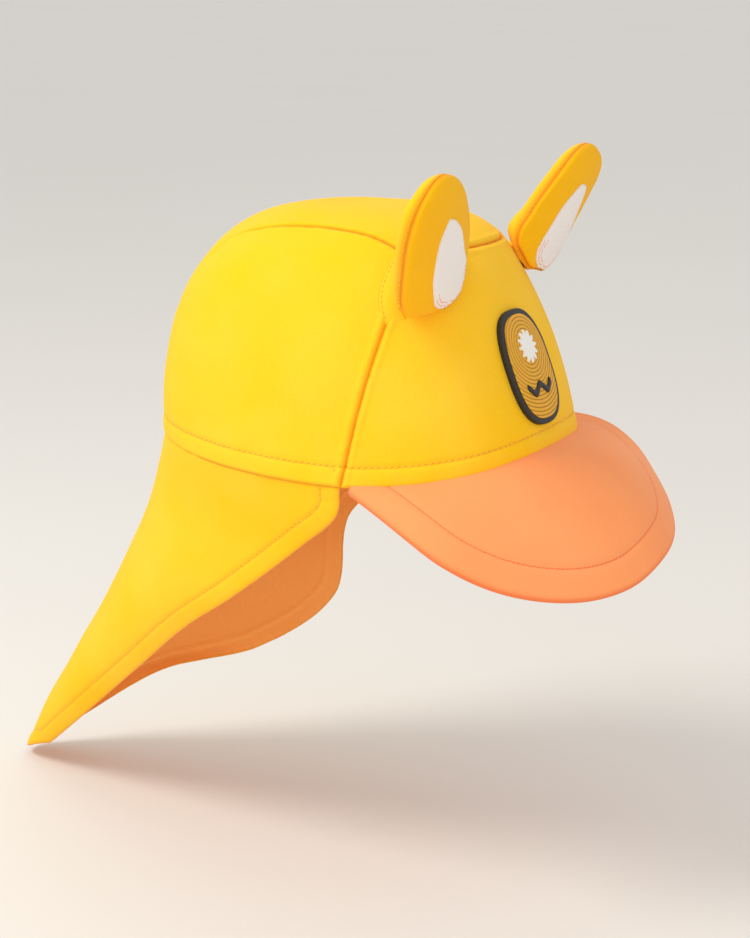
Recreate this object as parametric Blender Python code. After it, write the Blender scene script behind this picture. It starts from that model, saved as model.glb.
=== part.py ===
"""Toddler's sun cap: a panelled crown with two standing ears, a soft peak, a neck flap and a moulded badge.

Metres, +Z up. The cap faces -Y and the wearer's left is +X. The origin is the centre of the head
opening, level with the crown's rim at the temples.
Azimuths are in degrees round +Z, 0 at the front centre and 90 at the wearer's left.
"""

import math

import bmesh
import bpy
from mathutils import Vector

# Crown
HEAD_LENGTH = 0.168
HEAD_WIDTH = 0.142
CROWN_HEIGHT = 0.097
CROWN_WALL = 0.0014
RIM_RISE_FRONT = 0.008
RIM_RISE_BACK = 0.005
TEMPLE_AZIMUTH = 70.0
SHOULDER = 3.2

# Each row is a level of the crown: its share of the crown's height, the shares of half the head
# length in front and behind, the share of half the head width, and how square the section is.
CROWN_LEVELS = (
    # height, front, back, side, squareness
    (0.00, 1.00, 1.00, 1.00, 2.35),
    (0.20, 0.945, 0.99, 0.98, 2.45),
    (0.45, 0.86, 0.97, 0.95, 2.50),
    (0.70, 0.80, 0.95, 0.915, 2.50),
    (0.87, 0.84, 0.93, 0.90, 2.40),
    (1.00, 0.92, 0.93, 0.93, 2.25),
)

# The seam between the front panel and a side panel, from the temple up to the ear's top.
FRONT_SEAM = (
    # height share, azimuth
    (0.00, 70.0),
    (0.34, 64.0),
    (0.55, 58.5),
    (0.72, 52.5),
    (0.87, 47.5),
)
CENTER_HALF_WIDTH = 0.0355
CENTER_HALF_WIDTH_BACK = 0.028
BACK_SEAM_TURN = 0.50

# Cloth pieces stop short of each other by this gap at a seam.
SEAM_GAP = 0.0005

# Peak
PEAK_THICKNESS = 0.0026
PEAK_ROOT_AZIMUTH = 67.0
PEAK_BOW = 0.009
PEAK_REACH = 0.128
PEAK_HALF_WIDTH = 0.078
PEAK_DROP = 0.038

# Each row is a point of the peak's outer edge, from its right end, -1, over the front centre, 0,
# to its left end, 1: its share of the half width, of the reach and of the drop.
PEAK_EDGE = (
    # turn, across, forward, down
    (-1.00, -0.905, 0.225, 0.03),
    (-0.86, -1.00, 0.445, 0.33),
    (-0.71, -0.98, 0.58, 0.58),
    (-0.56, -0.86, 0.70, 0.81),
    (-0.42, -0.69, 0.81, 0.95),
    (-0.28, -0.49, 0.905, 1.00),
    (-0.14, -0.26, 0.975, 0.95),
    (0.00, 0.00, 1.00, 0.81),
    (0.14, 0.26, 0.975, 0.70),
    (0.28, 0.49, 0.905, 0.54),
    (0.42, 0.68, 0.81, 0.35),
    (0.56, 0.84, 0.70, 0.13),
    (0.71, 0.94, 0.57, -0.04),
    (0.86, 0.96, 0.42, -0.09),
    (1.00, 0.905, 0.225, 0.00),
)

# Neck flap
FLAP_WALL = 0.0012
FLAP_LINING_WALL = 0.0010
FLAP_LINING_INSET = 0.0012
FLAP_LAYER_GAP = 0.0005
FLAP_SQUARENESS = 2.2
FLAP_REACH = 0.185
FLAP_DROP = 0.168
FLAP_HALF_WIDTH = 0.069

# Each row is a section across the flap, from the crown's rim down to the hem of its tail: the
# spine at the back and the two front edges, as shares of the flap's half width, reach and drop.
FLAP_SECTIONS = (
    # share, spine back, down, right across, back, down, left across, back, down
    (0.00, 0.454, -0.03, 1.00, -0.146, 0.00, 1.00, -0.146, 0.00),
    (0.07, 0.484, 0.05, 0.97, -0.125, 0.08, 0.97, -0.115, 0.07),
    (0.16, 0.523, 0.15, 0.92, -0.03, 0.165, 0.93, 0.02, 0.15),
    (0.33, 0.597, 0.31, 0.85, 0.16, 0.325, 0.86, 0.23, 0.303),
    (0.50, 0.703, 0.51, 0.72, 0.33, 0.457, 0.77, 0.265, 0.525),
    (0.67, 0.813, 0.69, 0.56, 0.505, 0.62, 0.56, 0.455, 0.675),
    (0.84, 0.918, 0.85, 0.38, 0.69, 0.79, 0.35, 0.70, 0.777),
    (1.00, 1.000, 1.00, 0.20, 0.88, 0.965, 0.16, 0.90, 0.950),
)

# Ears
# The tip's place is given by shares of half the head width and length, and its rise over the crown's
# height. The standoff keeps the layer between back and front clear of the crown.
EAR_SPREAD = 0.91
EAR_LEAN = 0.768
EAR_RISE = 0.0204
EAR_HALF_WIDTH = 0.0248
EAR_SWEEP = 0.0080
EAR_ROOT_SQUARENESS = 3.5
EAR_BACK_WALL = 0.0036
EAR_FRONT_WALL = 0.0020
EAR_PATCH_WALL = 0.0010
EAR_LAYER_GAP = 0.0003
EAR_PATCH_GAP = 0.0004
EAR_STANDOFF = 0.0016
EAR_PATCH_HALF_WIDTH = 0.58
EAR_PATCH_HALF_LENGTH = 0.62
EAR_PATCH_MIDDLE = -0.24

# Each row is a level of the left ear from its root, 0, to its tip, 1: where the ridge down its
# middle lies, as shares of how far out, forward and up the tip is, the shares of its half width
# and of the sweep of its sides, the turn of its face outwards, and how much its inner side rises.
EAR_LEVELS = (
    # length, out, forward, up, width, sweep, turn, slope
    (0.00, 0.598, 0.870, 0.586, 0.62, 1.00, 7.0, 0.50),
    (0.25, 0.701, 0.885, 0.667, 0.92, 0.90, 4.3, 0.48),
    (0.50, 0.817, 0.930, 0.778, 0.99, 0.62, 0.5, 0.22),
    (0.75, 0.935, 0.985, 0.896, 0.96, 0.46, -2.0, 0.07),
    (1.00, 1.000, 1.000, 1.000, 0.86, 0.20, -1.0, 0.10),
)

# Badge
BADGE_HALF_WIDTH = 0.0165
BADGE_HALF_HEIGHT = 0.0220
BADGE_CENTRE_HEIGHT = 0.0390
BADGE_OFFSET = -0.006
BADGE_SQUARENESS = 2.6
BADGE_LAYER_GAP = 0.0003
BADGE_BASE_WALL = 0.0014
BADGE_FIELD_WALL = 0.0008
BADGE_BORDER = 0.0022
BADGE_SUN_RADIUS = 0.0064
BADGE_SUN_RAYS = 12
BADGE_SUN_RISE = 0.0075
BADGE_WAVE_HALF_WIDTH = 0.0095
BADGE_WAVE_WIDTH = 0.0030
BADGE_WAVE_SWING = 0.0014
BADGE_WAVE_DROP = 0.0085

FINISHES = {
    # finish: linear colour, roughness
    "yellow_cloth": ((0.95, 0.62, 0.03, 1.0), 0.75),
    "orange_cloth": ((0.95, 0.26, 0.07, 1.0), 0.75),
    "amber_cloth": ((0.95, 0.40, 0.01, 1.0), 0.75),
    "white_cloth": ((0.80, 0.76, 0.71, 1.0), 0.80),
    "black_rubber": ((0.015, 0.013, 0.012, 1.0), 0.5),
    "gold_rubber": ((0.87, 0.42, 0.01, 1.0), 0.5),
    "white_rubber": ((0.80, 0.78, 0.74, 1.0), 0.5),
}


def table_at(rows, where):
    """The row of a table at `where` in its first column, on a smooth curve through its rows."""
    last = len(rows) - 1
    index = max(i for i in range(last) if rows[i][0] <= where or i == 0)
    low, high = rows[index], rows[index + 1]
    before, after = rows[max(index - 1, 0)], rows[min(index + 2, last)]
    span = high[0] - low[0]
    t = min(max((where - low[0]) / span, 0.0), 1.0)
    values = []
    for column in range(1, len(low)):
        slope_low = (high[column] - before[column]) / (high[0] - before[0])
        slope_high = (after[column] - low[column]) / (after[0] - low[0])
        values.append(
            low[column] * (1 + 2 * t) * (1 - t) ** 2
            + slope_low * span * t * (1 - t) ** 2
            + high[column] * t * t * (3 - 2 * t)
            - slope_high * span * t * t * (1 - t)
        )
    return values


def crown_section(height):
    """Front reach, back reach, half width and squareness of the crown's level section at a height."""
    share = min(max(height / CROWN_HEIGHT, 0.0), 1.0)
    dome = (1 - share**SHOULDER) ** (1 / SHOULDER)
    front, back, side, squareness = table_at(CROWN_LEVELS, share)
    return (
        front * dome * HEAD_LENGTH / 2,
        back * dome * HEAD_LENGTH / 2,
        side * dome * HEAD_WIDTH / 2,
        squareness,
    )


def crown_at(azimuth, height):
    """The point of the crown's outer face at an azimuth and a height."""
    front, back, side, n = crown_section(height)
    across, forward = math.sin(math.radians(azimuth)), math.cos(math.radians(azimuth))
    reach = front if forward > 0 else back
    radius = (abs(across / side) ** n + abs(forward / reach) ** n) ** (-1 / n)
    return Vector((radius * across, -radius * forward, height))


def rim_height(azimuth):
    """Height of the crown's rim, lowest at the temples."""
    turn = abs((azimuth + 180) % 360 - 180)
    if turn < TEMPLE_AZIMUTH:
        return RIM_RISE_FRONT * (1 + math.cos(math.pi * turn / TEMPLE_AZIMUTH)) / 2
    behind = (turn - TEMPLE_AZIMUTH) / (180 - TEMPLE_AZIMUTH)
    return RIM_RISE_BACK * (1 - math.cos(math.pi * behind)) / 2


def inside_crown(point):
    if not point.z < CROWN_HEIGHT:
        return False
    front, back, side, n = crown_section(point.z)
    reach = front if point.y < 0 else back
    return abs(point.x / side) ** n + abs(point.y / reach) ** n < 1


def crown_over(across, lift):
    """The point of the crown's outer face at a distance `across` from the mid-plane, where a ray
    raised by `lift` degrees from straight ahead meets it in that plane."""
    ahead = Vector((0, -math.cos(math.radians(lift)), math.sin(math.radians(lift))))
    start = Vector((across, 0, CROWN_HEIGHT * 0.3))
    near, far = 0.0, HEAD_LENGTH
    for _ in range(40):
        middle = (near + far) / 2
        if inside_crown(start + ahead * middle):
            near = middle
        else:
            far = middle
    return start + ahead * near


def lift_of(point):
    """The lift at which crown_over meets a point."""
    return math.degrees(math.atan2(point.z - CROWN_HEIGHT * 0.3, -point.y)) % 360


def front_seam(share):
    """Azimuth and height on the seam beside the front panel, from the rim, 0, to the ear's top, 1."""
    top = FRONT_SEAM[-1][0]
    azimuth = table_at(FRONT_SEAM, share * top)[0]
    low = rim_height(TEMPLE_AZIMUTH)
    return azimuth, low + share * (top * CROWN_HEIGHT - low)


def center_end(s):
    """Where the centre panel's back end lies, for s from -1 at the right to 1 at the left."""
    width = math.degrees(math.asin(CENTER_HALF_WIDTH_BACK / (HEAD_LENGTH / 2)))
    azimuth = 180 - s * width
    return crown_at(azimuth, rim_height(azimuth))


def center_panel(s, t):
    """The centre panel: s across from right to left, t from the front panel over to the back rim."""
    side = 2 * s - 1
    azimuth, height = front_seam(1)
    start, end = crown_at(side * azimuth, height), center_end(side)
    lift = lift_of(start) + (lift_of(end) - lift_of(start)) * t
    middle = side * CENTER_HALF_WIDTH
    across = table_at(((0, start.x), (BACK_SEAM_TURN, middle), (1, end.x)), t)[0]
    return crown_over(across, lift)


def corner(point):
    """Azimuth and height of a point, the azimuth from -180 to 180."""
    return math.degrees(math.atan2(point.x, -point.y)), point.z


def fill(s, t, rim, top, start, end):
    """The point of the crown inside four edges, each giving azimuth and height: rim and top for
    a share s, start and end for a share t."""
    mixed = []
    for k in range(2):
        along = (1 - t) * rim(s)[k] + t * top(s)[k]
        up = (1 - s) * start(t)[k] + s * end(t)[k]
        corners = (1 - s) * ((1 - t) * rim(0)[k] + t * top(0)[k])
        corners += s * ((1 - t) * rim(1)[k] + t * top(1)[k])
        mixed.append(along + up - corners)
    return crown_at(*mixed)


def front_panel(s, t):
    """The front panel: s across from right to left, t up from the rim."""

    def rim(share):
        azimuth = (2 * share - 1) * front_seam(0)[0]
        return azimuth, rim_height(azimuth)

    def right(share):
        azimuth, height = front_seam(share)
        return -azimuth, height

    return fill(s, t, rim, lambda share: corner(center_panel(share, 0)), right, front_seam)


def side_panel(s, t):
    """The left side panel: s back from the front seam, t up from the rim to the top seam."""

    def top(share):
        return corner(center_panel(1, share * BACK_SEAM_TURN))

    def back(share):
        return corner(center_panel(1, 1 - share * (1 - BACK_SEAM_TURN)))

    def rim(share):
        azimuth = front_seam(0)[0] + (back(0)[0] - front_seam(0)[0]) * share
        return azimuth, rim_height(azimuth)

    return fill(s, t, rim, top, front_seam, back)


def material(name, finish):
    """A Principled material for one piece, in the colour of its cloth or rubber."""
    colour, roughness = FINISHES[finish]
    made = bpy.data.materials.new(name)
    made.use_nodes = True
    shader = made.node_tree.nodes["Principled BSDF"]
    shader.inputs["Base Color"].default_value = colour
    shader.inputs["Roughness"].default_value = roughness
    shader.inputs["Metallic"].default_value = 0.0
    made.diffuse_color = colour
    return made


def add_object(name, shape, finish):
    mesh = bpy.data.meshes.new(name)
    shape.to_mesh(mesh)
    shape.free()
    mesh.shade_smooth()
    made = bpy.data.objects.new(name, mesh)
    made.data.materials.append(material(name, finish))
    bpy.context.scene.collection.objects.link(made)
    return made


def add_wall(made, wall):
    solid = made.modifiers.new("wall", "SOLIDIFY")
    solid.thickness = wall
    solid.offset = -1
    solid.use_even_offset = True


def cloth(name, columns, rows, place, wall, finish, mirrored=False, inset=SEAM_GAP / 2, depth=0.0):
    """A sheet of cloth as a solid: place(s, t) gives its outer face, and the wall goes inwards.
    Its edges stop `inset` short of the seam lines, and it lies `depth` under that face."""
    shape = bmesh.new()
    bmesh.ops.create_grid(shape, x_segments=columns, y_segments=rows, size=0.5)
    for vertex in shape.verts:
        vertex.co = place(vertex.co.x + 0.5, vertex.co.y + 0.5)
        if mirrored:
            vertex.co.x = -vertex.co.x
    if mirrored:
        bmesh.ops.reverse_faces(shape, faces=shape.faces)
    rim = [vertex for vertex in shape.verts if vertex.is_boundary]
    steps = {}
    for vertex in rim:
        inward = Vector()
        for edge in vertex.link_edges:
            if not edge.is_boundary:
                inward += (edge.other_vert(vertex).co - vertex.co).normalized()
        if inward.length == 0:
            for edge in vertex.link_edges:
                inward += (edge.other_vert(vertex).co - vertex.co).normalized()
        steps[vertex] = inward.normalized() * inset
    for vertex, step in steps.items():
        vertex.co += step
    shape.normal_update()
    for vertex, normal in [(vertex, vertex.normal.copy()) for vertex in shape.verts]:
        vertex.co -= normal * depth
    made = add_object(name, shape, finish)
    add_wall(made, wall)
    return made


def make_crown():
    cloth("crown_front", 18, 12, front_panel, CROWN_WALL, "yellow_cloth")
    cloth("crown_center", 12, 22, center_panel, CROWN_WALL, "yellow_cloth")
    cloth("crown_side_left", 14, 11, side_panel, CROWN_WALL, "yellow_cloth")
    cloth("crown_side_right", 14, 11, side_panel, CROWN_WALL, "yellow_cloth", mirrored=True)


def peak_face(s, t):
    """The peak's upper face: s across from right to left, t from the edge in to the crown's rim,
    where it ends under the crown's wall."""
    side = 2 * s - 1
    azimuth = side * PEAK_ROOT_AZIMUTH
    rim = crown_at(azimuth, rim_height(azimuth))
    under = 1 - CROWN_WALL / HEAD_LENGTH * 2
    root = Vector((rim.x * under, rim.y * under, rim.z - SEAM_GAP))
    across, forward, down = table_at(PEAK_EDGE, side)
    edge = Vector((across * PEAK_HALF_WIDTH, -forward * PEAK_REACH, -down * PEAK_DROP))
    bow = PEAK_BOW * 4 * t * (1 - t) * (root.z - edge.z) / PEAK_DROP
    return edge.lerp(root, t) + Vector((0, 0, bow))


def make_peak():
    cloth("peak", 30, 7, peak_face, PEAK_THICKNESS, "orange_cloth")


def flap_section(side, along):
    """A point on a section across the flap: side from -1 at the right front edge over 0 at the
    spine to 1 at the left front edge."""
    row = table_at(FLAP_SECTIONS, along)
    across, back, down = row[5:8] if side > 0 else row[2:5]
    turn = math.radians(90 * abs(side))
    wide = math.sin(turn) ** (2 / FLAP_SQUARENESS)
    deep = max(math.cos(turn), 0.0) ** (2 / FLAP_SQUARENESS)
    return Vector(
        (
            math.copysign(wide * across * FLAP_HALF_WIDTH, side),
            (back + (row[0] - back) * deep) * FLAP_REACH,
            -(row[1] + (down - row[1]) * (1 - math.cos(turn))) * FLAP_DROP,
        )
    )


def flap_face(s, t):
    """The flap's outer face: s round from the left front edge to the right one, t up from the tail."""
    side = 1 - 2 * s
    along = 1 - t
    azimuth = 180 - side * (180 - TEMPLE_AZIMUTH)
    rim = crown_at(azimuth, rim_height(azimuth)) - Vector((0, 0, SEAM_GAP))
    fade = max(0.0, 1 - along / 0.4) ** 2
    return flap_section(side, along) + (rim - flap_section(side, 0)) * fade


def make_flap():
    cloth("neck_flap", 30, 13, flap_face, FLAP_WALL, "yellow_cloth")
    cloth(
        "flap_lining",
        30,
        13,
        flap_face,
        FLAP_LINING_WALL,
        "orange_cloth",
        inset=FLAP_LINING_INSET,
        depth=FLAP_WALL + FLAP_LAYER_GAP,
    )


def round_off(s, t):
    """A place in the unit disc for the shares s, t of a square grid."""
    across, up = 2 * s - 1, 2 * t - 1
    return across * math.sqrt(1 - up * up / 2), up * math.sqrt(1 - across * across / 2)


def off_crown(point, clearance):
    """A point moved straight off the crown until it clears the crown, with a soft start."""
    if not point.z < CROWN_HEIGHT:
        return point
    azimuth = math.degrees(math.atan2(point.x, -point.y))
    radius = crown_at(azimuth, point.z).xy.length
    step = CROWN_HEIGHT * 0.002
    slope = (crown_at(azimuth, point.z - step).xy.length - radius) / step
    steep = math.sqrt(1 + slope * slope)
    short = clearance - (point.xy.length - radius) / steep
    soft = clearance / 2
    if short > soft:
        move = short
    else:
        move = max(short + soft, 0.0) ** 2 / (4 * soft)
    out = point.xy.normalized() / steep
    return point + Vector((out.x, out.y, slope / steep)) * move


def ear_point(across, up):
    """A point of the left ear's middle layer for a place in the unit disc: across from the inner
    to the outer edge, up from the root to the tip. Near the root it lies on the crown."""
    share = (1 + up) / 2
    out, forward, high, width, sweep, turn, slope = table_at(EAR_LEVELS, share)
    if up < 0:
        low = min(-up, 0.9999)
        across *= (1 - low**EAR_ROOT_SQUARENESS) ** (1 / EAR_ROOT_SQUARENESS) / math.sqrt(1 - low * low)
    ridge = Vector(
        (
            out * EAR_SPREAD * HEAD_WIDTH / 2,
            -forward * EAR_LEAN * HEAD_LENGTH / 2,
            high * (CROWN_HEIGHT + EAR_RISE),
        )
    )
    turn = math.radians(turn)
    wide = Vector((math.cos(turn), math.sin(turn), -slope))
    front = Vector((math.sin(turn), -math.cos(turn), -0.25 * share))
    point = ridge + wide * across * width * EAR_HALF_WIDTH - front * sweep * EAR_SWEEP * across * across
    return off_crown(point, EAR_STANDOFF)


def ear_face(s, t):
    return ear_point(*round_off(s, t))


def ear_patch_face(s, t):
    across, up = round_off(s, t)
    return ear_point(across * EAR_PATCH_HALF_WIDTH, up * EAR_PATCH_HALF_LENGTH + EAR_PATCH_MIDDLE)


def make_ears():
    for mirrored, side in ((False, "left"), (True, "right")):
        cloth("ear_back_" + side, 10, 11, ear_face, EAR_BACK_WALL, "yellow_cloth", mirrored)
        lift = EAR_FRONT_WALL + EAR_LAYER_GAP
        cloth(
            "ear_front_" + side, 10, 11, ear_face, EAR_FRONT_WALL, "amber_cloth", mirrored, depth=-lift
        )
        lift += EAR_PATCH_WALL + EAR_PATCH_GAP
        cloth(
            "ear_patch_" + side, 6, 8, ear_patch_face, EAR_PATCH_WALL, "white_cloth", mirrored, depth=-lift
        )


def badge_point(across, up):
    """The point of the crown's front at a distance across and up from the badge's centre."""
    height = BADGE_CENTRE_HEIGHT + up * 0.96
    front = crown_at(0, height).y
    return crown_at(math.degrees(math.atan2(across + BADGE_OFFSET, -front)), height)


def badge_oval(border):
    def place(s, t):
        across, up = round_off(s, t)
        size = (abs(across) ** 2 + abs(up) ** 2) ** 0.5
        square = (abs(across) ** BADGE_SQUARENESS + abs(up) ** BADGE_SQUARENESS) ** (1 / BADGE_SQUARENESS)
        grow = size / square if square > 0 else 1.0
        return badge_point(
            across * grow * (BADGE_HALF_WIDTH - border), up * grow * (BADGE_HALF_HEIGHT - border)
        )

    return place


def badge_wave(s, t):
    across = (2 * s - 1) * BADGE_WAVE_HALF_WIDTH
    swing = BADGE_WAVE_SWING * math.cos(2 * math.pi * (2 * s - 1))
    return badge_point(across, -BADGE_WAVE_DROP + swing + (t - 0.5) * BADGE_WAVE_WIDTH)


def add_sun(lift):
    """A small sun with pointed rays, lying on the badge's field."""
    shape = bmesh.new()
    bmesh.ops.create_circle(shape, cap_ends=True, cap_tris=True, segments=2 * BADGE_SUN_RAYS, radius=1)
    for vertex in shape.verts:
        turn = math.atan2(vertex.co.y, vertex.co.x)
        ray = round(turn / (math.pi / BADGE_SUN_RAYS)) % 2
        reach = BADGE_SUN_RADIUS * vertex.co.length * (0.68 if ray else 1.0)
        vertex.co = badge_point(reach * math.cos(turn), BADGE_SUN_RISE + reach * math.sin(turn))
    shape.normal_update()
    for vertex, normal in [(vertex, vertex.normal.copy()) for vertex in shape.verts]:
        vertex.co += normal * lift
    made = add_object("badge_sun", shape, "white_rubber")
    add_wall(made, BADGE_FIELD_WALL)


def make_badge():
    lift = BADGE_LAYER_GAP + BADGE_BASE_WALL
    cloth("badge_base", 10, 12, badge_oval(0), BADGE_BASE_WALL, "black_rubber", depth=-lift)
    lift += BADGE_LAYER_GAP + BADGE_FIELD_WALL
    cloth("badge_field", 8, 10, badge_oval(BADGE_BORDER), BADGE_FIELD_WALL, "gold_rubber", depth=-lift)
    lift += BADGE_LAYER_GAP + BADGE_FIELD_WALL
    cloth("badge_wave", 20, 1, badge_wave, BADGE_FIELD_WALL, "black_rubber", depth=-lift)
    add_sun(lift)


for old in list(bpy.data.objects):
    bpy.data.objects.remove(old)
make_crown()
make_peak()
make_flap()
make_ears()
make_badge()
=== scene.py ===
import math
from functools import lru_cache
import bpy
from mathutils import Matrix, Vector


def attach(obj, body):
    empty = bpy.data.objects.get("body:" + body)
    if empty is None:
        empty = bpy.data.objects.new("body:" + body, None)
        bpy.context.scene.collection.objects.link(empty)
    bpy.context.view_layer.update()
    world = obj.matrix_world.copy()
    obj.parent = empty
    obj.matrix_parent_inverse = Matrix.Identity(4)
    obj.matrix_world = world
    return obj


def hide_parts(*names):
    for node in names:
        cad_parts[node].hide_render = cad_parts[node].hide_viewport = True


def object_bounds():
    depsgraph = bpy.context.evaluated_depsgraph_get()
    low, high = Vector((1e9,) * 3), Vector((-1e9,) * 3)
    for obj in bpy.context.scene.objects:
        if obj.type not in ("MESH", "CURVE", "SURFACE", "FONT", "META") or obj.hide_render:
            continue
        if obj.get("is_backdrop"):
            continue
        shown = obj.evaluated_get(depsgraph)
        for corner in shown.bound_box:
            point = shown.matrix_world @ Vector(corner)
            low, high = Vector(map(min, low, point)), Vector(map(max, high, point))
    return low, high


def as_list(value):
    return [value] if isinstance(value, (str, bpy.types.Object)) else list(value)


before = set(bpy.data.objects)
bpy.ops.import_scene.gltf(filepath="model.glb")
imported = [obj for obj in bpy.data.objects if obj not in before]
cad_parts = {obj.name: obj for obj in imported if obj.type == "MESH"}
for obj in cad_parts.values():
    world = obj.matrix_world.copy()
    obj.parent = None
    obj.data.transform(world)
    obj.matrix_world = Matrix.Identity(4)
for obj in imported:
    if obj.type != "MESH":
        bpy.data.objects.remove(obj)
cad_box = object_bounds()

from types import SimpleNamespace

import bmesh
import bpy
from mathutils import Matrix, Vector, noise
from mathutils.kdtree import KDTree

scene = bpy.context.scene
scene.view_settings.view_transform = "Standard"

# Crown
# Four panels of plain yellow swim knit, a front one, one at each side and a strip from the front
# over the top to the nape, are sewn edge to edge. Their lower edge is turned in and topstitched.
HEAD_LENGTH = 0.168
HEAD_WIDTH = 0.142
CROWN_HEIGHT = 0.097
RIM_RISE_FRONT = 0.008
RIM_RISE_BACK = 0.005
TEMPLE_AZIMUTH = 70.0
SHOULDER = 3.2
CROWN_LEVELS = (
    # height, front, back, side, squareness
    (0.00, 1.00, 1.00, 1.00, 2.35),
    (0.20, 0.945, 0.99, 0.98, 2.45),
    (0.45, 0.86, 0.97, 0.95, 2.50),
    (0.70, 0.80, 0.95, 0.915, 2.50),
    (0.87, 0.84, 0.93, 0.90, 2.40),
    (1.00, 0.92, 0.93, 0.93, 2.25),
)
FRONT_SEAM = (
    # height share, azimuth
    (0.00, 70.0),
    (0.34, 64.0),
    (0.55, 58.5),
    (0.72, 52.5),
    (0.87, 47.5),
)
CENTER_HALF_WIDTH = 0.0355
CENTER_HALF_WIDTH_BACK = 0.028
BACK_SEAM_TURN = 0.50
RAY_FOOT = 0.3 * CROWN_HEIGHT
# The cloth and its soft swells, then the seams' hollow, ridge and puckers.
CROWN_CLOTH = 0.0010
BROAD_SWELL = 0.0009
FINE_SWELL = 0.00026
SEAM_DEPTH = 0.0009
SEAM_ROLL = 0.0009
# Painted shade along seams and edges: its strength and width.
SEAM_PAINTED_SHADE = 0.75
SEAM_PAINTED_SHADE_WIDTH = 0.0007
RIDGE_HEIGHT = 0.00034
RIDGE_AWAY = 0.0022
RIDGE_WIDTH = 0.0012
PUCKER_HEIGHT = 0.0003
PUCKER_REACH = 0.006
PUCKERS_PER_METRE = (230, 90)
# The turned hem and its topstitch, with an upright tack at each temple.
RIM_HEM = 0.0080
RIM_STITCH = 0.0026
HEM_SWELL = 0.0002
STITCH_DENT = 0.00045
STITCH_DENT_WIDTH = 0.0010
THREAD_WIDTH = 0.00056
TACK_TURN = 1.8
TACK_POINTS = 8
# The steps in which a hem is measured, where its stitches stop short of its ends, and the jump
# in length that marks two far parts of it.
HEM_STEP = 0.0002
STITCH_END = 0.0004
HEM_JUMP = 0.006
MERGE_DISTANCE = 0.00001
# The drawn width of a loop in mm, a hem that lies past all cloth and so leaves the needle holes
# out, and the scale at which a wave texture repeats once a unit.
KNIT_LOOP = 0.9
NO_HEM = 0.09
WAVE_SCALE = 2 * math.pi / 20


def table_at(rows, where):
    """The row of a table at `where` in its first column, on a smooth curve through its rows."""
    last = len(rows) - 1
    index = max(i for i in range(last) if rows[i][0] <= where or i == 0)
    low, high = rows[index], rows[index + 1]
    before, after = rows[max(index - 1, 0)], rows[min(index + 2, last)]
    span = high[0] - low[0]
    t = min(max((where - low[0]) / span, 0.0), 1.0)
    values = []
    for column in range(1, len(low)):
        slope_low = (high[column] - before[column]) / (high[0] - before[0])
        slope_high = (after[column] - low[column]) / (after[0] - low[0])
        values.append(
            low[column] * (1 + 2 * t) * (1 - t) ** 2
            + slope_low * span * t * (1 - t) ** 2
            + high[column] * t * t * (3 - 2 * t)
            - slope_high * span * t * t * (1 - t)
        )
    return values


def crown_section(height):
    """Front reach, back reach, half width and squareness of the crown's level section."""
    share = min(max(height / CROWN_HEIGHT, 0.0), 1.0)
    dome = (1 - share**SHOULDER) ** (1 / SHOULDER)
    front, back, side, squareness = table_at(CROWN_LEVELS, share)
    half = dome * HEAD_LENGTH / 2
    return front * half, back * half, side * dome * HEAD_WIDTH / 2, squareness


def crown_at(azimuth, height):
    """The point of the crown's outer face at an azimuth and a height."""
    front, back, side, n = crown_section(height)
    across, forward = math.sin(math.radians(azimuth)), math.cos(math.radians(azimuth))
    reach = front if forward > 0 else back
    radius = (abs(across / side) ** n + abs(forward / reach) ** n) ** (-1 / n)
    return Vector((radius * across, -radius * forward, height))


def rim_height(azimuth):
    """Height of the crown's rim, lowest at the temples."""
    turn = abs((azimuth + 180) % 360 - 180)
    if turn < TEMPLE_AZIMUTH:
        return RIM_RISE_FRONT * (1 + math.cos(math.pi * turn / TEMPLE_AZIMUTH)) / 2
    behind = (turn - TEMPLE_AZIMUTH) / (180 - TEMPLE_AZIMUTH)
    return RIM_RISE_BACK * (1 - math.cos(math.pi * behind)) / 2


def inside_crown(point):
    """Whether a point lies inside the crown's outer face."""
    if not point.z < CROWN_HEIGHT:
        return False
    front, back, side, n = crown_section(point.z)
    reach = front if point.y < 0 else back
    return abs(point.x / side) ** n + abs(point.y / reach) ** n < 1


def crown_over(across, lift):
    """The crown's outer face at a distance from the mid-plane, on a ray raised by `lift`
    degrees."""
    ahead = Vector((0, -math.cos(math.radians(lift)), math.sin(math.radians(lift))))
    start = Vector((across, 0, RAY_FOOT))
    near, far = 0.0, HEAD_LENGTH
    for _ in range(22):
        middle = (near + far) / 2
        if inside_crown(start + ahead * middle):
            near = middle
        else:
            far = middle
    return start + ahead * near


def lift_of(point):
    """The ray on which a point of the crown lies, in degrees from the front over the top."""
    return math.degrees(math.atan2(point.z - RAY_FOOT, -point.y)) % 360


@lru_cache(None)
def front_seam(share):
    """Azimuth and height on the seam beside the front panel, from the rim, 0, to its top, 1."""
    top = FRONT_SEAM[-1][0]
    low = rim_height(TEMPLE_AZIMUTH)
    return table_at(FRONT_SEAM, share * top)[0], low + share * (top * CROWN_HEIGHT - low)


@lru_cache(None)
def center_ends(side):
    """The two ends of the centre panel's lengthwise line, for -1 at the right to 1 at the left."""
    azimuth, height = front_seam(1)
    back = 180 - side * math.degrees(math.asin(CENTER_HALF_WIDTH_BACK / (HEAD_LENGTH / 2)))
    return crown_at(side * azimuth, height), crown_at(back, rim_height(back))


def center_panel(s, t):
    """The centre panel: s across from right to left, t from the front over to the back rim."""
    side = 2 * s - 1
    start, end = center_ends(side)
    lift = lift_of(start) + (lift_of(end) - lift_of(start)) * t
    middle = side * CENTER_HALF_WIDTH
    across = table_at(((0, start.x), (BACK_SEAM_TURN, middle), (1, end.x)), t)[0]
    return crown_over(across, lift)


def corner(point):
    """Azimuth and height of a point."""
    return math.degrees(math.atan2(point.x, -point.y)), point.z


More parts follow.
